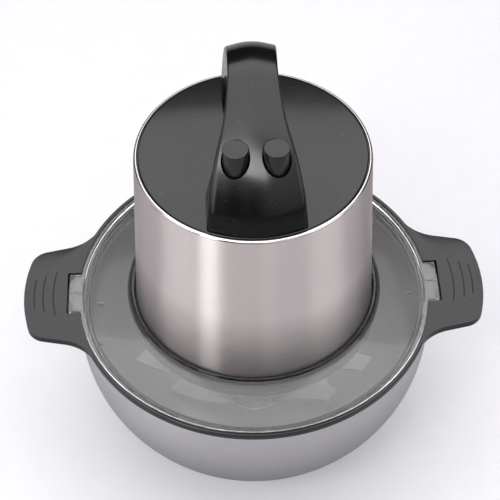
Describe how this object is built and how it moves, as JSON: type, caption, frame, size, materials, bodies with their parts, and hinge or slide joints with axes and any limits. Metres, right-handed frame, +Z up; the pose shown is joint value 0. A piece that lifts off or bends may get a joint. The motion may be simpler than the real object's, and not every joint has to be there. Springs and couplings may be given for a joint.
{
  "type": "yam pounder",
  "caption": "Bench food pounder: steel bowl with eared black ring, clear lid with collar and lock tabs, and a steel-sleeved motor head with an arched handle and push buttons.",
  "frame": {"origin": "on the table, under the middle of the bowl", "axes": "+Z up along the bowl's and motor's axis, +X to the right ear, -Y towards the front with the buttons"},
  "size_m": [0.316, 0.246, 0.344],
  "materials": {
    "bowl_steel": "satin stainless steel",
    "sleeve_steel": "satin stainless steel, rolled top edge",
    "black_gloss": "gloss black moulding",
    "black_satin": "satin black moulding",
    "clear_lid": "clear slightly smoky moulding",
    "soft_rubber": "soft rubber",
    "plain_steel": "turned steel",
    "blade_steel": "ground blade steel",
    "gearbox_plastic": "glass-filled moulding",
    "stator_steel": "stacked sheet steel",
    "copper": "enamelled copper",
    "holder_brass": "stamped brass",
    "carbon": "pressed carbon",
    "board_green": "circuit board",
    "switch_black": "moulded switch bodies"
  },
  "bodies": {
    "bowl_unit": {"bowl": "bowl_steel", "base_ring": "black_satin", "rubber_feet": "soft_rubber", "spindle": "plain_steel", "spindle_washer": "soft_rubber", "spindle_nut": "plain_steel", "handle_ring": "black_gloss", "ear_cover_left": "black_satin", "ear_cover_right": "black_satin", "ear_screws": "plain_steel"},
    "lid_unit": {"lid": "clear_lid", "lid_seal": "soft_rubber"},
    "head_unit": {"head_base": "black_satin", "steel_sleeve": "sleeve_steel", "top_cap": "black_gloss", "handle_upper": "black_gloss", "handle_lower": "black_gloss", "handle_screws": "plain_steel", "gearbox_base": "gearbox_plastic", "ring_gear": "plain_steel", "gearbox_cover": "gearbox_plastic", "gearbox_screws": "plain_steel", "stator_core": "stator_steel", "field_coils": "copper", "motor_bracket": "gearbox_plastic", "motor_bearings": "plain_steel", "output_bearing": "plain_steel", "brush_holders": "holder_brass", "carbon_brushes": "carbon", "switch_board": "board_green", "power_switches": "switch_black", "cord_gland": "black_satin", "base_screws": "plain_steel"},
    "left_push": {"left_button": "black_satin", "left_spring": "plain_steel"},
    "right_push": {"right_button": "black_satin", "right_spring": "plain_steel"},
    "rotor": {"motor_shaft": "plain_steel", "rotor_core": "stator_steel", "rotor_winding": "copper", "commutator": "copper", "cooling_fan": "gearbox_plastic", "sun_pinion": "plain_steel"},
    "carrier": {"planet_carrier": "plain_steel", "drive_coupling": "gearbox_plastic"},
    "planet_1": {"planet_gear_1": "gearbox_plastic"},
    "planet_2": {"planet_gear_2": "gearbox_plastic"},
    "planet_3": {"planet_gear_3": "gearbox_plastic"},
    "blade_set": {"blade_hub": "black_satin", "lower_blade": "blade_steel", "blade_spacer": "black_satin", "upper_blade": "blade_steel", "blade_clamp": "black_satin"}
  },
  "joints": [
    {"name": "lid_lift", "type": "slide", "parent": "bowl_unit", "child": "lid_unit", "axis": [0, 0, 1], "range_m": [0, 0.14]},
    {"name": "head_lift", "type": "slide", "parent": "lid_unit", "child": "head_unit", "axis": [0, 0, 1], "range_m": [0, 0.12]},
    {"name": "left_press", "type": "slide", "parent": "head_unit", "child": "left_push", "axis": [0, 0, -1], "range_m": [0, 0.0035], "stiffness_N_per_m": 150, "springref_m": -0.012, "deforming": ["left_spring"]},
    {"name": "right_press", "type": "slide", "parent": "head_unit", "child": "right_push", "axis": [0, 0, -1], "range_m": [0, 0.0035], "stiffness_N_per_m": 150, "springref_m": -0.012, "deforming": ["right_spring"]},
    {"name": "rotor_spin", "type": "hinge", "parent": "head_unit", "child": "rotor", "pos_m": [0, 0, 0.2], "axis": [0, 0, 1], "continuous": true},
    {"name": "carrier_spin", "type": "hinge", "parent": "head_unit", "child": "carrier", "pos_m": [0, 0, 0.148], "axis": [0, 0, 1], "continuous": true},
    {"name": "planet_1_spin", "type": "hinge", "parent": "carrier", "child": "planet_1", "pos_m": [0.018, 0, 0.155], "axis": [0, 0, 1], "continuous": true},
    {"name": "planet_2_spin", "type": "hinge", "parent": "carrier", "child": "planet_2", "pos_m": [-0.009, 0.01559, 0.155], "axis": [0, 0, 1], "continuous": true},
    {"name": "planet_3_spin", "type": "hinge", "parent": "carrier", "child": "planet_3", "pos_m": [-0.009, -0.01559, 0.155], "axis": [0, 0, 1], "continuous": true},
    {"name": "blade_spin", "type": "hinge", "parent": "bowl_unit", "child": "blade_set", "pos_m": [0, 0, 0.06], "axis": [0, 0, 1], "continuous": true}
  ],
  "couplings": [
    {"joint": "carrier_spin", "follows": "rotor_spin", "ratio": 0.16667},
    {"joint": "planet_1_spin", "follows": "rotor_spin", "ratio": -0.41667},
    {"joint": "planet_2_spin", "follows": "rotor_spin", "ratio": -0.41667},
    {"joint": "planet_3_spin", "follows": "rotor_spin", "ratio": -0.41667},
    {"joint": "blade_spin", "follows": "rotor_spin", "ratio": 0.16667}
  ]
}
